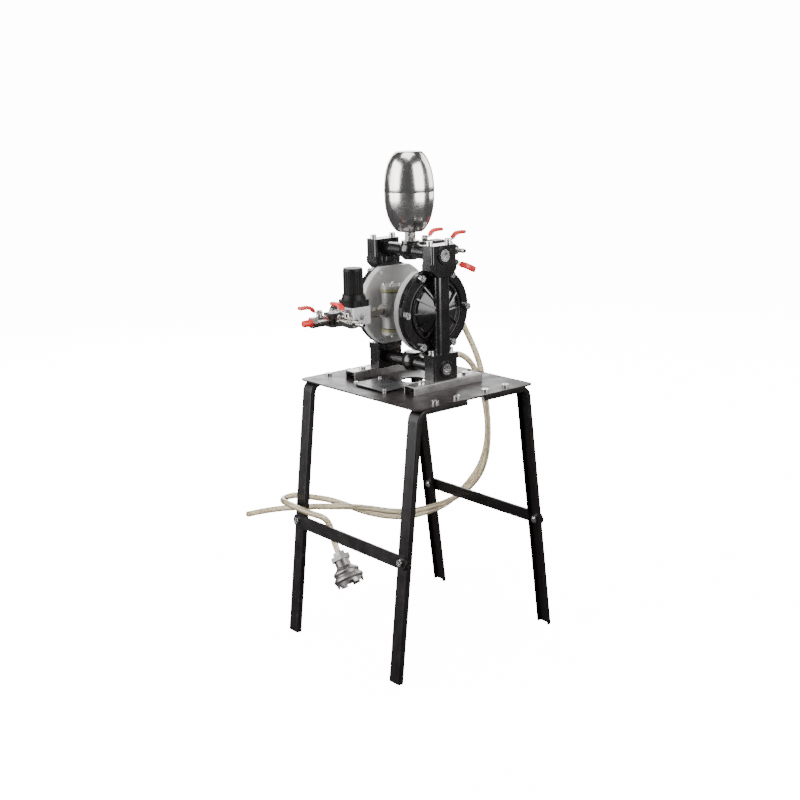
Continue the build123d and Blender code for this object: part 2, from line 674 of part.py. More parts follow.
# surge tank
tee_top = pump_z + top_axis + 20.0
tank_foot = tee_top + neck_length
with BuildPart() as surge_tank:
    with BuildSketch(Plane(origin=(pump_x, pump_y, tank_foot), x_dir=(1, 0, 0), z_dir=(0, -1, 0))):
        with BuildLine():
            r, top = tank_diameter / 2, tank_height
            out = Line((tank_bore, 0), (tank_end / 2 - 2.0, 0))
            low = ThreePointArc(out @ 1, (tank_end / 2 - 0.4, 0.6), (tank_end / 2 + 0.6, 2.0))
            side_wall = Spline(
                low @ 1,
                (r - tank_shoulder, top * 0.18),
                (r, top / 2),
                (r - tank_shoulder, top * 0.82),
                (tank_end / 2 + 0.6, top - 2.0),
            )
            high = ThreePointArc(side_wall @ 1, (tank_end / 2 - 0.4, top - 0.6), (tank_end / 2 - 2.0, top))
            Line(high @ 1, (0, top))
            Line((0, top), (0, top - tank_wall))
            cap = Line((0, top - tank_wall), (tank_end / 2 - 3.0, top - tank_wall))
            inside = Spline(
                cap @ 1,
                (r - tank_shoulder - tank_wall, top * 0.81),
                (r - tank_wall, top / 2),
                (r - tank_shoulder - tank_wall, top * 0.19),
                (tank_end / 2 - 3.0, tank_wall),
            )
            Line(inside @ 1, (tank_bore, tank_wall))
            Line((tank_bore, tank_wall), (tank_bore, 0))
        make_face()
    revolve(axis=Axis((pump_x, pump_y, 0), (0, 0, 1)))
save(surge_tank.part, "surge_tank")

# small ball valve, made once along X with its stem up
with BuildPart() as valve_shell:
    with BuildSketch(Plane.YZ.offset(-valve_in)):
        Circle(valve_body / 2 - 1.5)
    extrude(amount=valve_in)
    with BuildSketch(Plane.YZ.offset(-10.0)):
        Circle(valve_body / 2)
    extrude(amount=20.0)
    with BuildSketch(Plane.YZ.offset(9.0)):
        RegularPolygon(valve_body / 2 - 0.5, 6, major_radius=False)
    extrude(amount=valve_out - 9.0)
    with BuildSketch(Plane.YZ.offset(-valve_in)):
        RegularPolygon(valve_body / 2 - 0.8, 6, major_radius=False)
    extrude(amount=6.0)
    with BuildSketch():
        Circle(6.0)
    extrude(amount=stem_boss)
    with BuildSketch(Plane.YZ.offset(-valve_in)):
        Circle(valve_bore / 2)
    extrude(amount=valve_in + valve_out, mode=Mode.SUBTRACT)
    Sphere(valve_ball / 2 + 0.05, mode=Mode.SUBTRACT)
    with BuildSketch():
        Circle(stem_radius + 0.05)
    extrude(amount=stem_boss, mode=Mode.SUBTRACT)

with BuildPart() as valve_stem:
    Sphere(valve_ball / 2)
    with BuildSketch(Plane.YZ.offset(-valve_ball)):
        Circle(valve_bore / 2)
    extrude(amount=2 * valve_ball, mode=Mode.SUBTRACT)
    with BuildSketch(Plane.XY.offset(valve_bore / 2 + 1.0)):
        Circle(stem_radius)
    extrude(amount=stem_top - valve_bore / 2 - 1.0)
    with BuildSketch(Plane.XY.offset(stem_boss + 0.5 + lever_thickness)):
        RegularPolygon(5.0, 6, major_radius=False)
    extrude(amount=3.5)

with BuildPart() as lever:
    rise, grip_height = stem_boss + 0.5, 5.5
    with BuildSketch(Plane.XY.offset(rise)):
        Circle(7.0)
        with Locations((5.0, 0)):
            Rectangle(10.0, lever_width)
    extrude(amount=lever_thickness)
    with BuildSketch(Plane.XZ):
        with BuildLine():
            Polyline(
                (9.0, rise),
                (19.0, rise + 9.0),
                (lever_reach, rise + 11.0),
                (lever_reach, rise + 11.0 + grip_height),
                (17.5, rise + 9.5 + grip_height),
                (8.0, rise + lever_thickness + 1.5),
                close=True,
            )
        make_face()
    extrude(amount=lever_width / 2, both=True)
    tip_edges = lever.edges().filter_by(Axis.Z).group_by(Axis.X)[-1]
    fillet(tip_edges, lever_width / 2 - 1.0)
    with BuildSketch(Plane.XY.offset(rise)):
        Circle(stem_radius + 0.05)
    extrude(amount=lever_thickness, mode=Mode.SUBTRACT)

with BuildPart() as open_tail:
    with BuildSketch(Plane.YZ.offset(valve_out)):
        RegularPolygon(8.0, 6, major_radius=False)
    extrude(amount=5.0)
    with BuildSketch(Plane.XY):
        with BuildLine():
            start = valve_out + 5.0
            barb = start + tail_length - tail_barb
            Polyline(
                (start, tail_bore / 2),
                (start, tail_diameter / 2),
                (barb, tail_diameter / 2),
                (barb, tail_diameter / 2 - 0.6),
                (barb + 1.2, tail_diameter / 2 - 0.6),
                (barb + 1.6, tail_diameter / 2),
                (start + tail_length, tail_diameter / 2 - 1.0),
                (start + tail_length, tail_bore / 2),
                close=True,
            )
        make_face()
    revolve(axis=Axis.X)
    with BuildSketch(Plane.YZ.offset(valve_out)):
        Circle(tail_bore / 2)
    extrude(amount=5.0, mode=Mode.SUBTRACT)

# places of the five valves: origin, pipe direction, stem direction, lever's turn from the pipe, joint name
gallery_z = pump_z + top_axis
half_block, half_air = outlet_block_side / 2, air_block_side / 2
air_block_y = air_axis_y - regulator_side / 2 - air_block_gap - half_air
elbow_y = outlet_y + half_block + elbow_reach
return_z = gallery_z - 12.0 - valve_in
valve_frames = {
    "outlet_valve_front": ((pump_x + half_block + valve_in, outlet_y, gallery_z), (1, 0, 0), (0, 0, 1), 90.0),
    "outlet_valve_rear": ((pump_x - half_block - valve_in, outlet_y, gallery_z), (-1, 0, 0), (0, 0, 1), -90.0),
    "return_valve": ((pump_x, elbow_y, return_z), (0, 0, -1), (1, 0, 0), 65.0),
    "air_inlet_valve": ((pump_x, air_block_y - half_air - valve_in, pump_z), (0, -1, 0), (0, 0, 1), 0.0),
    "air_outlet_valve": (
        (pump_x + half_air + air_nipple + valve_in, air_block_y, pump_z),
        (1, 0, 0),
        (0, 0, 1),
        180.0,
    ),
}
bodies, tails = [], []
for name, (origin, pipe, stem, turn) in valve_frames.items():
    frame = Plane(origin=origin, x_dir=pipe, z_dir=stem).location
    bodies.append(frame * valve_shell.part)
    save(frame * Rot(0, 0, turn) * valve_stem.part, f"{name}_stem")
    save(frame * Rot(0, 0, turn) * lever.part, f"{name}_lever")
    if name in ("outlet_valve_front", "outlet_valve_rear", "air_outlet_valve"):
        tails.append(frame * open_tail.part)
save(Compound(children=bodies), "ball_valve_bodies")

# hex collars that the hoses push up against
return_exit = (pump_x, elbow_y, return_z - valve_out - collar_length)
suction_exit = (pump_x, pump_y + tee_boss + collar_length + 8.0, pump_z + low_axis)
with BuildPart() as collars:
    with BuildSketch(Plane(origin=return_exit)):
        RegularPolygon(8.5, 6, major_radius=False)
    extrude(amount=collar_length)
    with BuildSketch(Plane(origin=suction_exit, z_dir=(0, -1, 0))):
        RegularPolygon(10.0, 6, major_radius=False)
    extrude(amount=collar_length + 8.0)
tails.append(collars.part)
save(Compound(children=tails), "hose_tails")

with BuildPart() as outlet_block:
    with Locations((pump_x, outlet_y, gallery_z)):
        Box(outlet_block_side, outlet_block_side, outlet_block_side)
        chamfer(outlet_block.edges(), 1.5)
        Cylinder(4.5, outlet_block_side, rotation=(90, 0, 0), mode=Mode.SUBTRACT)
        Cylinder(4.5, outlet_block_side, rotation=(0, 90, 0), mode=Mode.SUBTRACT)
save(outlet_block.part, "outlet_block")

with BuildPart() as air_block:
    with Locations((pump_x, air_block_y, pump_z)):
        Box(air_block_side, air_block_side, air_block_side)
        chamfer(air_block.edges(), 1.2)
        Cylinder(4.5, air_block_side, rotation=(90, 0, 0), mode=Mode.SUBTRACT)
    with Locations((pump_x + half_air / 2, air_block_y, pump_z)):
        Cylinder(4.5, half_air, rotation=(0, 90, 0), mode=Mode.SUBTRACT)
    with Locations((pump_x, air_block_y, pump_z + half_air)):
        Cylinder(3.5, 8.0, mode=Mode.SUBTRACT)
save(air_block.part, "air_block")


def nipple(start, along, length, across):
    # plain pipe with a hexagon in its middle
    frame = Plane(origin=start, z_dir=along)
    with Locations(frame):
        Cylinder(across / 2 - 1.5, length, align=(Align.CENTER, Align.CENTER, Align.MIN))
    with BuildSketch(frame.offset(length * 0.25)) as flats:
        RegularPolygon(across / 2, 6, major_radius=False)
    extrude(flats.sketch, amount=length * 0.5)
    with Locations(frame):
        Cylinder(4.5, length, align=(Align.CENTER, Align.CENTER, Align.MIN), mode=Mode.SUBTRACT)


with BuildPart() as pipe_fittings:
    # neck of the surge tank
    with BuildSketch(Plane.XY.offset(tee_top)):
        with Locations((pump_x, pump_y)):
            RegularPolygon(neck_diameter / 2, 6, major_radius=False)
            Circle(5.0, mode=Mode.SUBTRACT)
    extrude(amount=neck_length)
    chamfer(pipe_fittings.edges().group_by(Axis.Z)[-1], 0.8)
    tee_face = pump_y + tee_boss
    nipple((pump_x, tee_face, gallery_z), (0, 1, 0), outlet_y - half_block - tee_face, 19.0)
    boss_face = pump_y + valve_y - valve_radius - 5.0
    regulator_face = air_axis_y + regulator_side / 2
    nipple((pump_x, boss_face, pump_z), (0, -1, 0), boss_face - regulator_face, 17.0)
    nipple((pump_x, air_axis_y - regulator_side / 2, pump_z), (0, -1, 0), air_block_gap, 17.0)
    nipple((pump_x + half_air, air_block_y, pump_z), (1, 0, 0), air_nipple, 17.0)
    # street elbow of the return valve
    with Locations((pump_x, outlet_y + half_block + elbow_reach / 2, gallery_z)):
        Cylinder(8.5, elbow_reach, rotation=(90, 0, 0))
    with Locations((pump_x, elbow_y, gallery_z)):
        Sphere(10.0)
        Cylinder(8.5, 12.0, align=(Align.CENTER, Align.CENTER, Align.MAX))
        Cylinder(4.5, 12.0, align=(Align.CENTER, Align.CENTER, Align.MAX), mode=Mode.SUBTRACT)
    with Locations((pump_x, outlet_y + half_block + elbow_reach / 2, gallery_z)):
        Cylinder(4.5, elbow_reach, rotation=(90, 0, 0), mode=Mode.SUBTRACT)
save(pipe_fittings.part, "pipe_fittings")

# regulator and gauge
regulator_foot, regulator_top = pump_z - regulator_below, pump_z + regulator_above
with BuildPart() as regulator_body:
    with BuildSketch(Plane.XY.offset(regulator_foot)):
        with Locations((pump_x, air_axis_y)):
            RectangleRounded(regulator_side, regulator_side, 4.0)
    extrude(amount=regulator_top - regulator_foot)
    with Locations((pump_x, air_axis_y, regulator_foot)):
        Cylinder(12.0, 3.0, align=(Align.CENTER, Align.CENTER, Align.MAX))
    with Locations((pump_x, air_axis_y, pump_z)):
        Cylinder(4.5, regulator_side, rotation=(90, 0, 0), mode=Mode.SUBTRACT)
    with Locations(Plane(origin=(pump_x - regulator_side / 2, air_axis_y, pump_z), z_dir=(-1, 0, 0))):
        Cylinder(gauge_port / 2, regulator_side / 2, align=(Align.CENTER, Align.CENTER, Align.MAX), mode=Mode.SUBTRACT)
    with Locations(Plane(origin=(pump_x + regulator_side / 2, air_axis_y, pump_z), z_dir=(1, 0, 0))):
        Cylinder(side_port / 2, side_port_depth, align=(Align.CENTER, Align.CENTER, Align.MAX), mode=Mode.SUBTRACT)
    with Locations((pump_x, air_axis_y, regulator_top)):
        Cylinder(14.0, 5.0, align=(Align.CENTER, Align.CENTER, Align.MAX), mode=Mode.SUBTRACT)
save(regulator_body.part, "regulator_body")

with BuildPart() as regulator_bonnet:
    with BuildSketch(Plane.XY.offset(regulator_top)):
        with Locations((pump_x, air_axis_y)):
            RectangleRounded(regulator_side, regulator_side, 11.0)
    extrude(amount=bonnet_square)
    with BuildSketch(Plane(origin=(pump_x, air_axis_y, regulator_top + bonnet_square))):
        Circle(22.5)
    extrude(amount=bonnet_height - bonnet_square, taper=8)
    with BuildSketch(Plane(origin=(pump_x, air_axis_y, regulator_top + bonnet_height))):
        Circle(knob_spigot + 0.05)
    extrude(amount=-10.0, mode=Mode.SUBTRACT)
    with Locations(Plane(origin=(pump_x + regulator_side / 2, air_axis_y, regulator_top + 6.0), z_dir=(1, 0, 0))):
        Cylinder(3.0, 1.5, align=(Align.CENTER, Align.CENTER, Align.MIN))
save(regulator_bonnet.part, "regulator_bonnet")

with BuildPart() as regulator_knob:
    knob_foot = regulator_top + bonnet_height
    with BuildSketch(Plane(origin=(pump_x, air_axis_y, knob_foot))):
        Circle(knob_diameter / 2)
        with PolarLocations(knob_diameter / 2 + 0.6, flute_count):
            Circle(1.6, mode=Mode.SUBTRACT)
    extrude(amount=knob_height - 5.0)
    with BuildSketch(Plane(origin=(pump_x, air_axis_y, knob_foot + knob_height - 5.0))):
        Circle(knob_diameter / 2)
    extrude(amount=5.0, taper=12)
    with BuildSketch(Plane(origin=(pump_x, air_axis_y, knob_foot))):
        Circle(knob_spigot)
    extrude(amount=-9.0)
save(regulator_knob.part, "regulator_knob")

# the gauge is turned about its own axis, which runs along -X from the regulator
gauge_front = pump_x - regulator_side / 2 - gauge_neck - gauge_depth
gauge_plane = Plane(origin=(gauge_front, air_axis_y, pump_z), x_dir=(1, 0, 0), z_dir=(0, -1, 0))
gauge_axis = Axis((0, air_axis_y, pump_z), (1, 0, 0))


def gauge_turned(points):
    with BuildSketch(gauge_plane) as half:
        with BuildLine():
            Polyline(*points, close=True)
        make_face()
    revolve(half.sketch, axis=gauge_axis)


with BuildPart() as gauge_case:
    r = gauge_diameter / 2
    gauge_turned(
        [
            (0, r - 3.0),
            (0, r - 1.0),
            (1.0, r),
            (5.0, r),
            (5.5, r - 1.0),
            (gauge_depth - 1.5, r - 1.0),
            (gauge_depth, r - 2.5),
            (gauge_depth, 0),
            (gauge_depth - 2.0, 0),
            (gauge_depth - 2.0, r - 4.0),
            (dial_depth + dial_thickness, r - 4.0),
            (dial_depth + dial_thickness, r - 3.0),
            (lens_depth + lens_thickness, r - 3.0),
            (lens_depth + lens_thickness, r - 2.0),
            (lens_depth, r - 2.0),
            (lens_depth, r - 3.0),
        ]
    )
    with BuildSketch(Plane(origin=(gauge_front + gauge_depth, air_axis_y, pump_z), z_dir=(1, 0, 0))):
        RegularPolygon(7.0, 6, major_radius=False)
    extrude(amount=gauge_neck)
    with Locations(Plane(origin=(gauge_front + gauge_depth + gauge_neck, air_axis_y, pump_z), z_dir=(1, 0, 0))):
        Cylinder(gauge_port / 2 - thread_play, 10.0, align=(Align.CENTER, Align.CENTER, Align.MIN))
save(gauge_case.part, "gauge_case")

with BuildPart() as gauge_dial:
    r = gauge_diameter / 2
    gauge_turned(
        [
            (dial_depth, needle_pin + 0.05),
            (dial_depth, r - 3.05),
            (dial_depth + dial_thickness, r - 3.05),
            (dial_depth + dial_thickness, needle_pin + 0.05),
        ]
    )
save(gauge_dial.part, "gauge_dial")

with BuildPart() as gauge_lens:
    r = gauge_diameter / 2
    gauge_turned(
        [
            (lens_depth, 0),
            (lens_depth, r - 2.05),
            (lens_depth + lens_thickness, r - 2.05),
            (lens_depth + lens_thickness, 0),
        ]
    )
save(gauge_lens.part, "gauge_lens")

with BuildPart() as gauge_needle:
    gauge_turned([(dial_depth - 4.0, 0), (dial_depth - 4.0, 2.5), (dial_depth - 2.0, 2.5), (dial_depth - 2.0, 0)])
    gauge_turned(
        [(dial_depth - 2.0, 0), (dial_depth - 2.0, needle_pin), (gauge_depth - 2.0, needle_pin), (gauge_depth - 2.0, 0)]
    )
    # seen from in front of the dial, with x to the right and y up
    face = Plane(origin=(gauge_front + dial_depth - 3.5, air_axis_y, pump_z), x_dir=(0, -1, 0), z_dir=(-1, 0, 0))
    with BuildSketch(face):
        with Locations(Rot(0, 0, needle_rest)):
            with BuildLine():
                Polyline((-4.0, -1.2), (0, -1.2), (12.5, -0.3), (12.5, 0.3), (0, 1.2), (-4.0, 1.2), close=True)
            make_face()
    extrude(amount=-0.8)
save(gauge_needle.part, "gauge_needle")

inlet_end = air_block_y - half_air - valve_in - valve_out
with BuildPart() as inlet_cap:
    with Locations(Plane(origin=(pump_x, inlet_end, pump_z), z_dir=(0, -1, 0))):
        Cylinder(7.5, 2.5, align=(Align.CENTER, Align.CENTER, Align.MIN))
        Cylinder(6.5, inlet_cap_length, align=(Align.CENTER, Align.CENTER, Align.MIN))
        Cylinder(valve_bore / 2 - thread_play, 6.0, align=(Align.CENTER, Align.CENTER, Align.MAX))
    fillet(inlet_cap.edges().group_by(Axis.Y)[0], 1.5)
save(inlet_cap.part, "inlet_cap")

# hoses, routed as they lie on the stand
return_route = [
    return_exit,
    (pump_x, elbow_y, 654),
    (2, 132, 594),
    (4, 168, 524),
    (2, 186, 446),
    (2, 194, 366),
    (-14, 198, 296),
    (-56, 204, 242),
    (-100, 184, 202),
    (-127, 140, 188),
    (-131, 88, 190),
    (-127, 30, 206),
    (-122, -22, 226),
    (-120, -68, 241),
    (-128, -105, 248),
    (-153, -133, 249),
    (-195, -149, 241),
    (-245, -157, 228),
    (-300, -164, 211),
    (-352, -170, 192),
]
strainer_top, strainer_axis = (-66.0, -150.0, 180.0), (0.577, 0, -0.817)
suction_route = [
    suction_exit,
    (-11, 92, 546),
    (-16, 142, 540),
    (-20, 184, 496),
    (-18, 204, 428),
    (-18, 212, 360),
    (-36, 212, 296),
    (-78, 214, 242),
    (-120, 188, 186),
    (-142, 140, 172),
    (-147, 88, 174),
    (-147, 32, 190),
    (-145, -20, 212),
    (-146, -66, 238),
    (-153, -106, 258),
    (-172, -138, 266),
    (-195, -147, 267),
    (-207, -168, 265),
    (-195, -190, 265),
    (-162, -194, 266),
    (-124, -192, 263),
    (-94, -186, 260),
    (-80, -168, 252),
    (-84, -152, 228),
    (strainer_top[0] - 31.0 * strainer_axis[0], strainer_top[1], strainer_top[2] - 31.0 * strainer_axis[2]),
    strainer_top,
]


def make_hose(route, label):
    points = [Vector(*p) for p in route]
    radii = []
    for before, here, after in zip(points, points[1:], points[2:]):
        half_turn = radians((here - before).get_angle(after - here)) / 2
        radii.append(0.45 * min((here - before).length, (after - here).length) / tan(half_turn))
    print(label, "bend radii", [round(r) for r in radii])
    with BuildPart() as hose:
        with BuildLine() as path:
            FilletPolyline(*points, radius=radii)
        start = Plane(origin=path.line @ 0, z_dir=path.line % 0)
        with BuildSketch(start):
            Circle(hose_diameter / 2)
            Circle(hose_bore / 2, mode=Mode.SUBTRACT)
        sweep()
    wall = pi / 4 * (hose_diameter**2 - hose_bore**2)
    length = sum(edge.length for edge in path.edges())
    print(label, "length", round(length), "volume ratio", round(hose.part.volume / length / wall, 4))
    save(hose.part, label)


make_hose(return_route, "return_hose")
make_hose(suction_route, "suction_hose")

# suction strainer
strainer_frame = Plane(origin=strainer_top, x_dir=(0, 1, 0), z_dir=strainer_axis)


def strainer_turned(points):
    # profile points are (along the strainer from the hose, radius)
    with BuildSketch(Plane(origin=strainer_top, x_dir=strainer_axis, z_dir=(0, -1, 0))) as half:
        with BuildLine():
            Polyline(*points, close=True)
        make_face()
    revolve(half.sketch, axis=Axis(strainer_top, strainer_axis))


with BuildPart() as strainer_body:
    with BuildSketch(strainer_frame):
        RegularPolygon(11.0, 6, major_radius=False)
    extrude(amount=8.0)
    with BuildSketch(strainer_frame.offset(8.0)):
        RegularPolygon(18.0, 6, major_radius=False)
    extrude(amount=9.0)
    strainer_turned(
        [
            (16.0, 0),
            (16.0, 15.0),
            (30.0, 15.0),
            (34.0, 19.0),
            (39.0, 25.5),
            (42.0, 26.5),
            (46.0, 25.0),
            (48.0, 25.0),
            (52.0, 29.5),
            (56.0, 30.0),
            (60.0, 27.5),
            (68.0, 26.5),
            (68.0, 23.5),
            (46.0, strainer_bell_bore / 2),
            (34.0, 11.0),
            (34.0, 0),
        ]
    )
    with BuildSketch(strainer_frame):
        Circle(hose_bore / 2)
    extrude(amount=40.0, mode=Mode.SUBTRACT)
    with Locations(strainer_frame.offset(66.0)):
        with PolarLocations(25.0, 6):
            Box(8.0, 11.0, 6.0, mode=Mode.SUBTRACT)
save(strainer_body.part, "strainer_body")

with BuildPart() as strainer_screen:
    with BuildSketch(strainer_frame.offset(46.0)):
        Circle(strainer_bell_bore / 2)
        with GridLocations(strainer_mesh, strainer_mesh, 7, 7):
            Rectangle(strainer_mesh - strainer_wire, strainer_mesh - strainer_wire, mode=Mode.SUBTRACT)
    extrude(amount=1.0)
save(strainer_screen.part, "strainer_screen")
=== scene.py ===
import math

import bpy
from mathutils import Matrix, Vector


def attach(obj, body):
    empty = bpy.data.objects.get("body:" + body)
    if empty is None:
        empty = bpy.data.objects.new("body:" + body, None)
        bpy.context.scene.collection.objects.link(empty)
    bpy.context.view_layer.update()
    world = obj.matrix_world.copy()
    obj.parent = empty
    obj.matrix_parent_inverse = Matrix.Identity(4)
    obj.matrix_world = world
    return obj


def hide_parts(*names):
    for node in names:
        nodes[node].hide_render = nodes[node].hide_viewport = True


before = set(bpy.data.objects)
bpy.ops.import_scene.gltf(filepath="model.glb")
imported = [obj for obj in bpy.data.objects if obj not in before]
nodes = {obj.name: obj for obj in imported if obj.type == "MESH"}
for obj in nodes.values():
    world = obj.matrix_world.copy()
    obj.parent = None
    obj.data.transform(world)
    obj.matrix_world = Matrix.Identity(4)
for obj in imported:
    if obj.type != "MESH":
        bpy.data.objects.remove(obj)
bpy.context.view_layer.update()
mm = 0.001
rootBody = "pump_frame"


# small helpers
def clearSelection():
    if bpy.context.object and bpy.context.object.mode != "OBJECT":
        bpy.ops.object.mode_set(mode="OBJECT")
    bpy.ops.object.select_all(action="DESELECT")


def endFaces(piece, direction):
    # leaves only the outermost faces along a direction selected, in edit mode
    bpy.ops.object.mode_set(mode="OBJECT")
    mesh = piece.data
    for part in (mesh.vertices, mesh.edges, mesh.polygons):
        part.foreach_set("select", [False] * len(part))
    way = Vector(direction)
    far = max(face.center.dot(way) for face in mesh.polygons)
    for face in mesh.polygons:
        if face.normal.dot(way) > 0.7 and face.center.dot(way) > far - 1e-5:
            face.select = True
    bpy.ops.object.mode_set(mode="EDIT")


def applyModifiers(piece):
    bpy.ops.object.mode_set(mode="OBJECT")
    for modifier in list(piece.modifiers):
        bpy.ops.object.modifier_apply(modifier=modifier.name)


def dress(piece, finish):
    piece.data.materials.clear()
    piece.data.materials.append(finish)


class Wire:
    # one output socket that can be used in arithmetic
    def __init__(self, finish, socket):
        self.finish, self.socket = finish, socket

    def math(self, operation, first, second):
        return self.finish.add("ShaderNodeMath", {"operation": operation}, {0: first, 1: second})

    def __add__(self, other):
        return self.math("ADD", self, other)

    def __sub__(self, other):
        return self.math("SUBTRACT", self, other)

    def __rsub__(self, other):
        return self.math("SUBTRACT", other, self)

    def __mul__(self, other):
        return self.math("MULTIPLY", self, other)

    def __truediv__(self, other):
        return self.math("DIVIDE", self, other)

    def __pow__(self, other):
        return self.math("POWER", self, other)

    def __abs__(self):
        return self.math("ABSOLUTE", self, 0.0)

    def __gt__(self, other):
        return self.math("GREATER_THAN", self, other)

    def __lt__(self, other):
        return self.math("LESS_THAN", self, other)

    def most(self, other):
        return self.math("MAXIMUM", self, other)

    def fold(self):
        # how far from the nearest whole number
        return self.math("PINGPONG", self, 0.5)


class Finish:
    # a material with the nodes that make it
    def __init__(self, name, color, roughness, metallic=0.0):
        self.material = bpy.data.materials.new(name)
        self.material.use_nodes = True
        self.tree = self.material.node_tree
        self.shader = self.tree.nodes["Principled BSDF"]
        self.place = self.add("ShaderNodeTexCoord", {}, {}, "Object")
        self.material.diffuse_color = (*color, 1.0)
        self.put("Base Color", (*color, 1.0))
        self.put("Roughness", roughness)
        self.put("Metallic", metallic)

    def add(self, kind, settings, values, output=0):
        node = self.tree.nodes.new(kind)
        for key, value in settings.items():
            setattr(node, key, value)
        for key, value in values.items():
            self.feed(node.inputs[key], value)
        return Wire(self, node.outputs[output])

    def feed(self, socket, value):
        if isinstance(value, Wire):
            self.tree.links.new(value.socket, socket)
        else:
            socket.default_value = value

    def put(self, name, value):
        self.feed(self.shader.inputs[name], value)

    def grain(self, scale, detail=4.0, stretch=(1.0, 1.0, 1.0), roughness=0.55):
        where = self.add("ShaderNodeMapping", {}, {"Vector": self.place, "Scale": stretch})
        values = {"Vector": where, "Scale": scale, "Detail": detail, "Roughness": roughness}
        return self.add("ShaderNodeTexNoise", {}, values)

    def blendColor(self, factor, first, second):
        # each colour is three numbers or a wire
        first, second = (c if isinstance(c, Wire) else (*c, 1.0) for c in (first, second))
        values = {0: factor, 6: first, 7: second}  # sockets 6 and 7 of a Mix node are its two colours
        return self.add("ShaderNodeMix", {"data_type": "RGBA"}, values, 2)

    def band(self, value, low, high):
        # 0 below low, 1 above high
        return self.add("ShaderNodeMapRange", {}, {"Value": value, "From Min": low, "From Max": high})

    def relief(self, height, strength, distance=0.0004, soften=0.0):
        # distance and soften are in metres; soften rounds the sharp edges
        values = {"Height": height, "Strength": strength, "Distance": distance}
        if soften:
            values["Normal"] = self.add("ShaderNodeBevel", {"samples": 4}, {"Radius": soften})
        self.put("Normal", self.add("ShaderNodeBump", {}, values))


dustColor = (0.35, 0.33, 0.3)
coatRoughness = 0.08


def makeFinish(
    name, color, roughness, metallic=0.0, spread=0.25, grain=420.0, stretch=(1, 1, 1), bump=0.08,
    smudge=0.12, coat=0.0, dust=0.0, soften=0.0005, shine=0.5,
):
    # colour that drifts a little, fingermarks in the gloss, fine relief, and dust where asked
    finish = Finish(name, color, roughness, metallic)
    drift = finish.band(finish.grain(14.0, 5.0), 0.3, 0.7)
    fine = finish.grain(grain, 3.0, stretch)
    dark = tuple(c * (1 - spread) for c in color)
    light = tuple(min(1.0, c * (1 + spread)) for c in color)
    tone = finish.blendColor(drift * 0.6 + fine * 0.4, dark, light)
    if dust:
        speck = finish.band(finish.grain(160.0, 6.0), 0.58, 0.75)
        patch = finish.band(finish.grain(9.0, 3.0), 0.42, 0.62)
        tone = finish.blendColor(speck * patch * dust, tone, dustColor)
    finish.put("Base Color", tone)
    marks = finish.band(finish.grain(38.0, 6.0), 0.35, 0.75)
    finish.put("Roughness", marks * smudge + fine * (smudge * 0.5) + (roughness - smudge * 0.5))
    finish.put("Specular IOR Level", shine)
    if coat:
        finish.put("Coat Weight", coat)
        finish.put("Coat Roughness", coatRoughness)
    finish.relief(fine, bump, soften=soften)
    return finish.material


# finishes
finishes = {
    "platePaint": dict(
        color=(0.016, 0.011, 0.011), roughness=0.36, shine=0.32, bump=0.03, grain=700.0, smudge=0.18,
        dust=0.2,
    ),
    "legPaint": dict(
        color=(0.006, 0.0045, 0.0045), roughness=0.33, shine=0.35, bump=0.1, grain=900.0, smudge=0.15,
        dust=0.12,
    ),
    "railZinc": dict(
        color=(0.42, 0.41, 0.4), roughness=0.3, metallic=0.95, spread=0.35, stretch=(1, 0.04, 1),
        grain=500.0,
    ),
    "boltSteel": dict(
        color=(0.8, 0.79, 0.78), roughness=0.22, metallic=1.0, spread=0.15, smudge=0.1, bump=0.04,
    ),
    "coverPaint": dict(
        color=(0.007, 0.006, 0.006), roughness=0.2, coat=0.6, bump=0.05, grain=520.0, smudge=0.1,
        soften=0.0009,
    ),
    "chamberPaint": dict(
        color=(0.5, 0.5, 0.49), roughness=0.38, bump=0.12, grain=380.0, spread=0.1, coat=0.2, dust=0.1,
    ),
    "centreCast": dict(
        color=(0.34, 0.33, 0.32), roughness=0.38, metallic=0.45, bump=0.25, grain=300.0, spread=0.18,
        dust=0.2,
    ),
    "sealRubber": dict(color=(0.02, 0.02, 0.02), roughness=0.7, bump=0.2, spread=0.3),
    "ballPlastic": dict(color=(0.85, 0.84, 0.8), roughness=0.4, bump=0.03, spread=0.06),
    "aluminiumBody": dict(
        color=(0.66, 0.66, 0.67), roughness=0.3, metallic=0.85, spread=0.1, grain=650.0, bump=0.12,
    ),
    "knobPlastic": dict(
        color=(0.0035, 0.003, 0.003), roughness=0.42, shine=0.22, bump=0.1, grain=800.0, smudge=0.16,
    ),
    "blockPaint": dict(color=(0.055, 0.052, 0.05), roughness=0.3, metallic=0.3, bump=0.12, spread=0.3),
    "nickelPlate": dict(
        color=(0.6, 0.57, 0.54), roughness=0.16, metallic=1.0, spread=0.16, smudge=0.12, bump=0.05,
    ),
    "redSleeve": dict(
        color=(0.72, 0.014, 0.012), roughness=0.36, coat=0.25, bump=0.05, spread=0.2, smudge=0.15,
    ),
    "zincCast": dict(
        color=(0.3, 0.285, 0.275), roughness=0.36, metallic=0.9, bump=0.35, grain=260.0, spread=0.3,
        smudge=0.2,
    ),
    "tagPaint": dict(
        color=(0.13, 0.13, 0.135), roughness=0.28, metallic=0.6, spread=0.2, stretch=(1, 0.05, 1),
        bump=0.06,
    ),
    "shaftSteel": dict(color=(0.6, 0.6, 0.62), roughness=0.2, metallic=1.0, spread=0.1),
}
made = {name: makeFinish(name, **values) for name, values in finishes.items()}

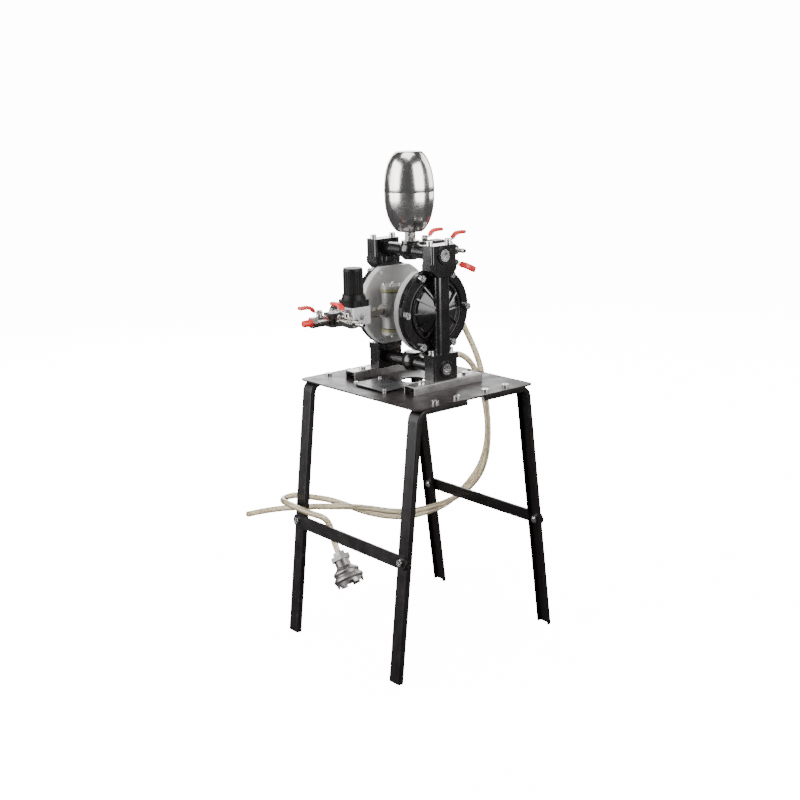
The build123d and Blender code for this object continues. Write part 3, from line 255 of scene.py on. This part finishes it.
wearing = {
    "platePaint": ["base_plate"],
    "legPaint": ["leg_left", "leg_front", "leg_back", "leg_right", "brace_near", "brace_far"],
    "railZinc": ["rail_rear", "rail_front"],
    "boltSteel": [
        "stand_bolts", "rail_bolts", "small_screws", "cover_bolts", "manifold_bolts", "port_plugs",
        "strainer_screen",
    ],
    "coverPaint": ["cover_rear", "cover_front", "upper_manifold", "lower_manifold"],
    "chamberPaint": ["air_chamber_rear", "air_chamber_front"],
    "centreCast": ["centre_block"],
    "sealRubber": ["diaphragms", "valve_gaskets"],
    "ballPlastic": ["ball_seats", "check_balls_forward", "check_balls_back"],
    "aluminiumBody": ["regulator_body", "valve_spool"],
    "knobPlastic": ["regulator_bonnet", "regulator_knob"],
    "blockPaint": ["outlet_block", "air_block"],
    "nickelPlate": [
        "pipe_fittings", "ball_valve_bodies", "hose_tails", "gauge_case", "outlet_valve_front_stem",
        "outlet_valve_rear_stem", "return_valve_stem", "air_inlet_valve_stem", "air_outlet_valve_stem",
    ],
    "redSleeve": ["inlet_cap", "gauge_needle"],
    "zincCast": ["strainer_body"],
    "tagPaint": ["tag_plate"],
    "shaftSteel": ["diaphragm_shaft", "diaphragm_discs"],
}
for name, worn in wearing.items():
    for node in worn:
        dress(nodes[node], made[name])

# valve caps: cast grey with an olive sealing ring against the housing
capSettings = dict(
    middle=654.0, ringTop=40.5, roughness=0.36, metallic=0.3,
    castColor=(0.36, 0.35, 0.34), castDark=(0.28, 0.27, 0.26), castLight=(0.42, 0.41, 0.4),
    ringColor=(0.26, 0.25, 0.12),
)


def capFinish():
    finish = Finish("valveCap", capSettings["castColor"], capSettings["roughness"], capSettings["metallic"])
    height = finish.add("ShaderNodeSeparateXYZ", {}, {0: finish.place}, "Z") / mm - capSettings["middle"]
    ring = abs(height) < capSettings["ringTop"]
    grit = finish.grain(300.0, 4.0)
    cast = finish.blendColor(finish.band(grit, 0.3, 0.7), capSettings["castDark"], capSettings["castLight"])
    finish.put("Base Color", finish.blendColor(ring, cast, capSettings["ringColor"]))
    finish.put("Roughness", grit * 0.2 + (capSettings["roughness"] - 0.1))
    finish.relief(grit, 0.2, soften=0.0006)
    return finish.material


dress(nodes["valve_caps"], capFinish())
print("finishes on the solids")

# camera
cameraSettings = dict(
    place=(1.85358, -1.56773, 1.08152), yaw=48.904, pitch=13.695, roll=-1.017, lens=58.11,
    shift=(-0.0428, -0.0119),
)
yaw, pitch, roll = (math.radians(cameraSettings[k]) for k in ("yaw", "pitch", "roll"))
ahead = Vector((-math.sin(yaw) * math.cos(pitch), math.cos(yaw) * math.cos(pitch), -math.sin(pitch)))
level = ahead.cross(Vector((0, 0, 1))).normalized()
upright = level.cross(ahead)
right = math.cos(roll) * level + math.sin(roll) * upright
upward = math.cos(roll) * upright - math.sin(roll) * level
bpy.ops.object.camera_add()
camera = bpy.context.object
cameraTurn = Matrix((right, upward, -ahead)).transposed().to_4x4()
camera.matrix_world = Matrix.Translation(cameraSettings["place"]) @ cameraTurn
camera.data.lens = cameraSettings["lens"]
camera.data.shift_x, camera.data.shift_y = cameraSettings["shift"]
bpy.context.scene.camera = camera
print("camera")

# hoses: clear PVC, each along its own route in millimetres
hoseSettings = dict(
    diameter=12.0, resolution=12, sides=6, returnLength=1.108, suctionLength=1.128,
    roughness=0.2, transmission=0.28, subsurface=0.25, coat=0.6, color=(0.5, 0.42, 0.27),
    coreDark=(0.36, 0.3, 0.19), coreLight=(0.48, 0.41, 0.28), outlineShadeColor=(0.2, 0.14, 0.06),
)
returnRoute = [
    (-11, 104, 704.5), (-11, 104, 654), (2, 132, 594), (4, 168, 524), (2, 186, 446),
    (2, 194, 366), (-14, 198, 296), (-56, 204, 242), (-100, 184, 202), (-127, 140, 188),
    (-131, 88, 190), (-127, 30, 206), (-122, -22, 226), (-120, -68, 241), (-128, -105, 248),
    (-153, -133, 249), (-195, -149, 241), (-245, -157, 228), (-300, -164, 211), (-352, -170, 192),
]
suctionRoute = [
    (-11, 47, 546), (-11, 92, 546), (-16, 142, 540), (-20, 184, 496), (-18, 204, 428),
    (-18, 212, 360), (-36, 212, 296), (-78, 214, 242), (-120, 188, 186), (-142, 140, 172),
    (-147, 88, 174), (-147, 32, 190), (-145, -20, 212), (-146, -66, 238), (-153, -106, 258),
    (-172, -138, 266), (-195, -147, 267), (-207, -168, 265), (-195, -190, 265), (-162, -194, 266),
    (-124, -192, 263), (-94, -186, 260), (-80, -168, 252), (-84, -152, 228), (-83.9, -150, 205.3),
    (-66, -150, 180),
]


def hoseFinish():
    finish = Finish("hosePvc", hoseSettings["color"], hoseSettings["roughness"])
    facing = finish.add("ShaderNodeLayerWeight", {}, {"Blend": 0.42}, "Facing")
    drift = finish.band(finish.grain(26.0, 4.0), 0.3, 0.7)
    core = finish.blendColor(drift, hoseSettings["coreDark"], hoseSettings["coreLight"])
    # painted shade: the base colour darkens towards the hose's outline where the tube turns away from view
    outlineShade = finish.band(facing, 0.25, 0.95)
    finish.put("Base Color", finish.blendColor(outlineShade * 0.7, core, hoseSettings["outlineShadeColor"]))
    finish.put("Roughness", finish.grain(60.0, 4.0) * 0.16 + (hoseSettings["roughness"] - 0.08))
    finish.put("Transmission Weight", hoseSettings["transmission"])
    finish.put("Subsurface Weight", hoseSettings["subsurface"])
    finish.put("Subsurface Radius", (0.006, 0.004, 0.002))
    finish.put("Coat Weight", hoseSettings["coat"])
    finish.put("Coat Roughness", coatRoughness)
    finish.relief(finish.grain(140.0, 3.0), 0.04)
    return finish.material


hosePvc = hoseFinish()


def layHose(name, route):
    clearSelection()
    curve = bpy.data.curves.new(name, "CURVE")
    curve.dimensions = "3D"
    spline = curve.splines.new("NURBS")
    spline.points.add(len(route) - 1)
    for point, (x, y, z) in zip(spline.points, route):
        point.co = (x * mm, y * mm, z * mm, 1.0)
    spline.order_u = 3
    spline.use_endpoint_u = True
    spline.resolution_u = hoseSettings["resolution"]
    curve.bevel_depth = hoseSettings["diameter"] / 2 * mm
    curve.bevel_resolution = hoseSettings["sides"]
    curve.use_fill_caps = True
    hose = bpy.data.objects.new(name, curve)
    bpy.context.scene.collection.objects.link(hose)
    dress(hose, hosePvc)
    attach(hose, rootBody)
    return hose


returnHose = layHose("returnHose", returnRoute)
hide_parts("return_hose")
suctionHose = layHose("suctionHose", suctionRoute)
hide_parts("suction_hose")
print("hoses")

# surge tank, spun steel with a weld seam round its middle; the profile is (height, radius)
tankSettings = dict(
    centre=(-11.0, 5.0), foot=797.5, segments=128, topInset=2.0, roughness=0.2,
    steel=(0.72, 0.7, 0.68), steelDark=(0.55, 0.52, 0.5), steelLight=(0.86, 0.84, 0.82),
    profile=[
        (0.0, 5.2), (0.0, 21.0), (0.3, 24.0), (2.0, 26.4), (7.0, 31.0), (14.0, 35.6),
        (22.0, 39.4), (32.0, 42.6), (44.0, 45.2), (58.0, 46.9), (72.6, 47.45), (73.4, 47.2),
        (75.6, 47.2), (76.4, 47.45), (91.0, 46.9), (105.0, 45.2), (117.0, 42.6), (127.0, 39.4),
        (135.0, 35.6), (142.0, 31.0), (147.0, 26.4), (148.7, 24.0), (149.0, 21.0),
    ],
)


def tankFinish():
    finish = Finish("tankSteel", tankSettings["steel"], tankSettings["roughness"], 1.0)
    streak = finish.grain(70.0, 5.0, (1.0, 1.0, 0.05))
    turning = finish.grain(260.0, 3.0, (0.15, 0.15, 2.0))
    patch = finish.band(finish.grain(30.0, 6.0), 0.45, 0.7)
    tone = finish.band(streak, 0.25, 0.75)
    finish.put("Base Color", finish.blendColor(tone, tankSettings["steelDark"], tankSettings["steelLight"]))
    finish.put("Roughness", turning * 0.12 + patch * 0.1 + (tankSettings["roughness"] - 0.08))
    finish.relief(streak * 0.6 + turning * 0.4, 0.16, 0.0006)
    return finish.material


clearSelection()
tankX, tankY = (v * mm for v in tankSettings["centre"])
rings = tankSettings["profile"]
bpy.ops.mesh.primitive_circle_add(
    vertices=tankSettings["segments"], radius=rings[0][1] * mm, fill_type="NGON",
    location=(tankX, tankY, tankSettings["foot"] * mm),
)
tank = bpy.context.object
tank.name = "surgeTankShell"
bpy.ops.object.transform_apply(location=True, rotation=True, scale=True)
bpy.ops.object.mode_set(mode="EDIT")
bpy.ops.mesh.select_all(action="SELECT")
for (lowZ, lowR), (highZ, highR) in zip(rings, rings[1:]):
    bpy.ops.mesh.extrude_region_move(TRANSFORM_OT_translate={"value": (0, 0, (highZ - lowZ) * mm)})
    swell = highR / lowR
    bpy.ops.transform.resize(
        value=(swell, swell, 1.0), center_override=(tankX, tankY, (tankSettings["foot"] + highZ) * mm)
    )
bpy.ops.mesh.inset(thickness=tankSettings["topInset"] * mm)
bpy.ops.mesh.select_all(action="SELECT")
bpy.ops.mesh.remove_doubles(threshold=0.00001)
bpy.ops.mesh.normals_make_consistent(inside=False)
bpy.ops.object.mode_set(mode="OBJECT")
bpy.ops.object.shade_smooth_by_angle(angle=math.radians(40))
dress(tank, tankFinish())
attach(tank, rootBody)
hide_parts("surge_tank")
print("tank")

# valve handles: a bent steel strip with a dipped red grip
handleSettings = dict(
    plate=[(-6.0, 16.5), (6.0, 16.5), (10.0, 17.8), (14.0, 21.5), (18.0, 26.0), (23.0, 28.6), (30.0, 29.0)],
    plateWidth=9.0, plateThickness=1.9, plateRoundness=0.5,
    grip=[(11.5, 19.6), (14.5, 22.6), (18.0, 26.0), (22.0, 28.3), (27.0, 29.2), (36.0, 29.2), (44.8, 29.2)],
    gripWidth=12.0, gripThickness=7.0, gripRoundness=2.6,
)
# each valve's pivot, the way its pipe runs, the way its stem points, and the lever's turn about the stem
handlePlaces = {
    "outlet_valve_front": ((22, 70, 760.5), (1, 0, 0), (0, 0, 1), 90.0),
    "outlet_valve_rear": ((-44, 70, 760.5), (-1, 0, 0), (0, 0, 1), -90.0),
    "return_valve": ((-11, 104, 730.5), (0, 0, -1), (1, 0, 0), 65.0),
    "air_inlet_valve": ((-11, -213, 654), (0, -1, 0), (0, 0, 1), 0.0),
    "air_outlet_valve": ((30, -182, 654), (1, 0, 0), (0, 0, 1), 180.0),
}


def bentStrip(name, path, width, thickness, roundness, smoothing=0):
    # a bar of rectangular section led along a path in the XZ plane
    clearSelection()
    (x0, z0), (x1, z1) = path[0], path[1]
    bpy.ops.mesh.primitive_cube_add(size=1.0, location=((x0 + x1) / 2 * mm, 0, (z0 + z1) / 2 * mm))
    strip = bpy.context.object
    strip.name = name
    strip.dimensions = ((x1 - x0) * mm, width * mm, thickness * mm)
    bpy.ops.object.transform_apply(location=True, rotation=True, scale=True)
    endFaces(strip, (1, 0, 0))
    if z1 != z0:  # slants the first stretch
        bpy.ops.transform.translate(value=(0, 0, (z1 - z0) / 2 * mm))
        endFaces(strip, (-1, 0, 0))
        bpy.ops.transform.translate(value=(0, 0, (z0 - z1) / 2 * mm))
        endFaces(strip, (1, 0, 0))
    for (ax, az), (bx, bz) in zip(path[1:], path[2:]):
        step = ((bx - ax) * mm, 0, (bz - az) * mm)
        bpy.ops.mesh.extrude_region_move(TRANSFORM_OT_translate={"value": step})
    bpy.ops.object.mode_set(mode="OBJECT")
    bevel = strip.modifiers.new("edges", "BEVEL")
    bevel.width, bevel.segments, bevel.limit_method = roundness * mm, 3, "ANGLE"
    if smoothing:
        smooth = strip.modifiers.new("smooth", "SUBSURF")
        smooth.levels = smooth.render_levels = smoothing
    applyModifiers(strip)
    bpy.ops.object.shade_smooth_by_angle(angle=math.radians(50))
    return strip


masterPlate = bentStrip(
    "handlePlate", handleSettings["plate"], handleSettings["plateWidth"], handleSettings["plateThickness"],
    handleSettings["plateRoundness"],
)
masterGrip = bentStrip(
    "handleGrip", handleSettings["grip"], handleSettings["gripWidth"], handleSettings["gripThickness"],
    handleSettings["gripRoundness"], smoothing=1,
)
masters = ((masterPlate, "nickelPlate", "nickel"), (masterGrip, "redSleeve", "lever_red"))
for valve, (origin, pipe, stem, turn) in handlePlaces.items():
    pipeWay, stemWay = Vector(pipe), Vector(stem)
    turned = Matrix((pipeWay, stemWay.cross(pipeWay), stemWay)).transposed().to_4x4()
    where = Matrix.Translation(Vector(origin) * mm) @ turned @ Matrix.Rotation(math.radians(turn), 4, "Z")
    for master, finish, slot in masters:
        copy = bpy.data.objects.new(f"{master.name}_{valve}", master.data.copy())
        bpy.context.scene.collection.objects.link(copy)
        copy.data.transform(where)
        dress(copy, made[finish])
        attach(copy, f"{valve}_handle")
    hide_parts(f"{valve}_lever")
clearSelection()
for master in (masterPlate, masterGrip):
    bpy.data.objects.remove(master)
print("valve handles")

# gauge face and lens
gaugeSettings = dict(
    centre=(-134.0, 654.0), marks=25, sweep=270.0, longEvery=5.0, markOuter=15.4, tickInner=12.6,
    longInner=10.8, ringWidth=0.3, tickWidth=0.07, longWidth=0.03,
    face=(0.86, 0.86, 0.83), ink=(0.02, 0.02, 0.02),
)


def dialFinish():
    finish = Finish("gaugeDial", gaugeSettings["face"], 0.45)
    sideways = finish.add("ShaderNodeSeparateXYZ", {}, {0: finish.place}, "Y")
    rise = finish.add("ShaderNodeSeparateXYZ", {}, {0: finish.place}, "Z")
    across = gaugeSettings["centre"][0] * mm - sideways
    up = rise - gaugeSettings["centre"][1] * mm
    radius = (across * across + up * up) ** 0.5 / mm
    angle = across.math("ARCTAN2", across, up) / (2 * math.pi)
    turns = angle * (gaugeSettings["marks"] * 360.0 / gaugeSettings["sweep"])
    inside = radius < gaugeSettings["markOuter"]
    swept = abs(angle) < gaugeSettings["sweep"] / 720.0
    tick = (turns.fold() < gaugeSettings["tickWidth"]) * (radius > gaugeSettings["tickInner"])
    long = (turns / gaugeSettings["longEvery"]).fold() < gaugeSettings["longWidth"]
    long = long * (radius > gaugeSettings["longInner"])
    border = radius < gaugeSettings["markOuter"] + gaugeSettings["ringWidth"]
    ring = (radius > gaugeSettings["markOuter"]) * border
    ink = ring.most(tick.most(long) * inside * swept)
    finish.put("Base Color", finish.blendColor(ink, gaugeSettings["face"], gaugeSettings["ink"]))
    finish.relief(finish.grain(300.0), 0.03)
    return finish.material


def lensFinish():
    finish = Finish("gaugeGlass", (0.95, 0.97, 0.97), 0.03)
    finish.put("Transmission Weight", 1.0)
    finish.put("IOR", 1.3)
    finish.put("Roughness", finish.grain(40.0, 5.0) * 0.04 + 0.01)
    return finish.material


dress(nodes["gauge_dial"], dialFinish())
dress(nodes["gauge_lens"], lensFinish())
print("gauge")

# studio
studioSettings = dict(
    paperColor=(0.9, 0.9, 0.9), paperGlow=14.0, floorSize=80.0, domeRadius=38.0,
    worldColor=(0.95, 0.97, 1.0), worldStrength=0.1,
)
paper = Finish("studioPaper", studioSettings["paperColor"], 0.9)
paper.put("Emission Color", (1.0, 1.0, 1.0, 1.0))
paper.put("Emission Strength", studioSettings["paperGlow"])
clearSelection()
bpy.ops.mesh.primitive_plane_add(size=studioSettings["floorSize"], location=(0, 0, 0))
floor = bpy.context.object
floor.name = "floor"
clearSelection()
bpy.ops.mesh.primitive_uv_sphere_add(segments=48, ring_count=24, radius=studioSettings["domeRadius"])
dome = bpy.context.object
dome.name = "backdropDome"
for backdrop in (floor, dome):
    dress(backdrop, paper.material)
    backdrop.visible_glossy = False
    backdrop.visible_diffuse = False
    backdrop.visible_transmission = backdrop is floor
world = bpy.data.worlds.new("studio")
world.use_nodes = True
background = world.node_tree.nodes["Background"]
background.inputs["Color"].default_value = (*studioSettings["worldColor"], 1.0)
background.inputs["Strength"].default_value = studioSettings["worldStrength"]
bpy.context.scene.world = world

softLights = {
    "leftSoftbox": dict(place=(-1.1, -2.7, 1.5), aim=(0, 0, 0.7), size=(3.0, 2.8), power=190.0),
    "rightSoftbox": dict(place=(2.8, 0.5, 1.5), aim=(0, 0, 0.7), size=(2.4, 2.8), power=130.0),
    "topSoftbox": dict(place=(0.1, -0.3, 3.4), aim=(0, 0, 0.4), size=(2.0, 2.0), power=55.0),
    "backSoftbox": dict(place=(-2.6, 1.4, 1.7), aim=(0, 0, 0.6), size=(2.2, 2.6), power=90.0),
    "farSoftbox": dict(place=(0.3, 3.1, 1.7), aim=(0, 0, 0.6), size=(2.2, 2.6), power=75.0),
}
for name, values in softLights.items():
    bpy.ops.object.light_add(type="AREA", location=values["place"])
    light = bpy.context.object
    light.name = name
    light.data.shape = "RECTANGLE"
    light.data.size, light.data.size_y = values["size"]
    light.data.energy = values["power"]
    way = Vector(values["aim"]) - Vector(values["place"])
    light.rotation_euler = way.to_track_quat("-Z", "Y").to_euler()
    light.visible_camera = False
print("studio")
